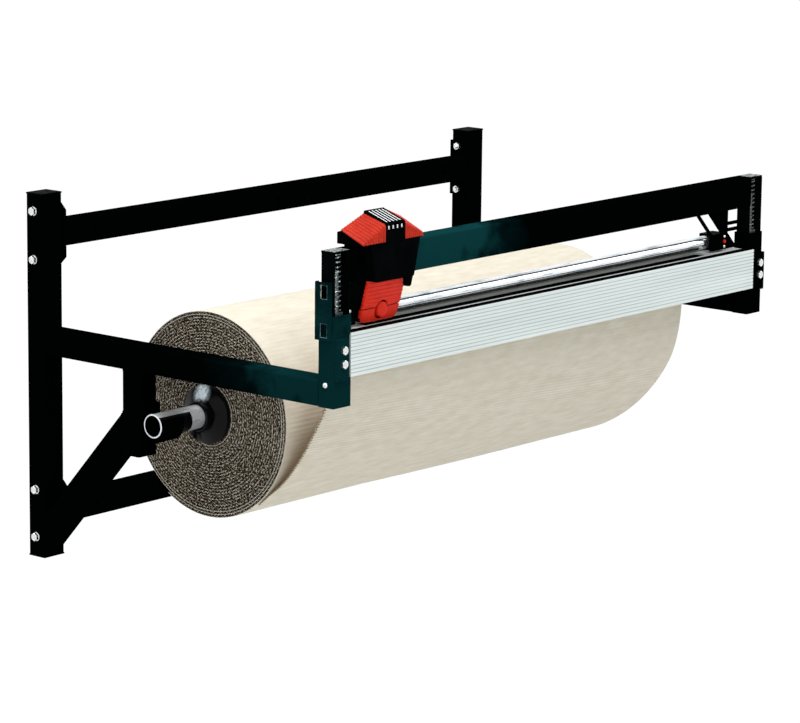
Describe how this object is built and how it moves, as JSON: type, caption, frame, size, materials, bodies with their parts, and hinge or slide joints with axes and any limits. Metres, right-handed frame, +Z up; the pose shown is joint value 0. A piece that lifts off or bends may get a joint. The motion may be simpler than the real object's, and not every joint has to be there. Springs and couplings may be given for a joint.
{
  "type": "wall-mounted corrugated board dispenser with sliding cutter",
  "caption": "Black steel wall frame that carries a roll of corrugated wrapping board, with an aluminium cutting rail and a red and black sliding cutting head.",
  "frame": {"origin": "centre of the four outer wall screws, on the wall plane", "axes": "+X to the right along the crossbars, +Y into the wall, +Z up"},
  "size_m": [1.2399, 0.74, 0.686],
  "materials": {
    "frame_black": "semi-gloss black powder coat",
    "cap_black": "moulded black plastic",
    "zinc_steel": "bright zinc plate",
    "bare_steel": "ground and oiled steel",
    "chromed_tube": "polished chrome plate",
    "rail_aluminium": "satin anodised, ribbed front",
    "black_rubber": "matt",
    "board_face": "natural corrugated board, fluted on one side",
    "core_board": "spiral-wound grey board",
    "head_black": "moulded black plastic",
    "head_red": "moulded red plastic, slightly glossy",
    "bearing_plastic": "natural acetal"
  },
  "bodies": {
    "wall_frame": {"bar_end_plates": "frame_black", "board_web": "board_face", "bottom_crossbar": "frame_black", "cutting_mat": "black_rubber", "cutting_rail": "rail_aluminium", "edge_strip": "black_rubber", "frame_bolts": "zinc_steel", "frame_nuts": "zinc_steel", "frame_washers": "zinc_steel", "left_arm": "frame_black", "left_brace": "frame_black", "left_hanger": "frame_black", "left_post_sleeve": "frame_black", "left_upright": "frame_black", "post_springs": "bare_steel", "rail_plate_bolts": "zinc_steel", "rail_plates": "frame_black", "right_arm": "frame_black", "right_brace": "frame_black", "right_hanger": "frame_black", "right_post_sleeve": "frame_black", "right_upright": "frame_black", "roll_cradles": "frame_black", "seat_screws": "zinc_steel", "spring_seats": "bare_steel", "top_crossbar": "frame_black", "upright_caps": "cap_black", "window_bracket": "frame_black"},
    "roll_axle": {"roll_shaft": "chromed_tube", "shaft_collars": "cap_black", "collar_screws": "zinc_steel"},
    "board_on_core": {"board_roll": "board_face", "roll_core": "core_board", "core_plugs": "cap_black"},
    "bridge": {"left_upper_post": "frame_black", "right_upper_post": "frame_black", "post_caps": "cap_black", "portal_bar": "frame_black", "left_gusset": "frame_black", "right_gusset": "frame_black", "tube_blocks": "cap_black", "guide_tube": "chromed_tube", "tie_rods": "zinc_steel", "gusset_screws": "zinc_steel", "stop_button": "head_red"},
    "cutting_head": {"head_front_housing": "head_black", "head_top_housing": "head_black", "head_rear_housing": "head_black", "head_lower_housing": "head_black", "grip_ridge": "head_black", "left_grip": "head_red", "right_grip": "head_red", "upper_cover": "head_red", "lower_cover": "head_red", "rear_cover": "head_red", "blade_boss": "head_red", "tube_bushes": "bearing_plastic", "bar_glides": "bearing_plastic", "blade_pin": "bare_steel"},
    "blade": {"rotary_blade": "bare_steel"}
  },
  "joints": [
    {"name": "bridge_press", "type": "slide", "parent": "wall_frame", "child": "bridge", "axis": [0, 0, -1], "range_m": [0, 0.0035], "stiffness_N_per_m": 6000, "springref_m": -0.027, "deforming": ["post_springs"]},
    {"name": "head_slide", "type": "slide", "parent": "bridge", "child": "cutting_head", "axis": [1, 0, 0], "range_m": [0, 0.85]},
    {"name": "blade_spin", "type": "hinge", "parent": "cutting_head", "child": "blade", "pos_m": [-0.4815, -0.695, 0.189], "axis": [0, 1, 0], "continuous": true},
    {"name": "roll_lift", "type": "slide", "parent": "wall_frame", "child": "roll_axle", "axis": [0, 0, 1], "range_m": [0, 0.045]},
    {"name": "roll_spin", "type": "hinge", "parent": "roll_axle", "child": "board_on_core", "pos_m": [0.0275, -0.308, -0.0495], "axis": [1, 0, 0], "continuous": true}
  ]
}
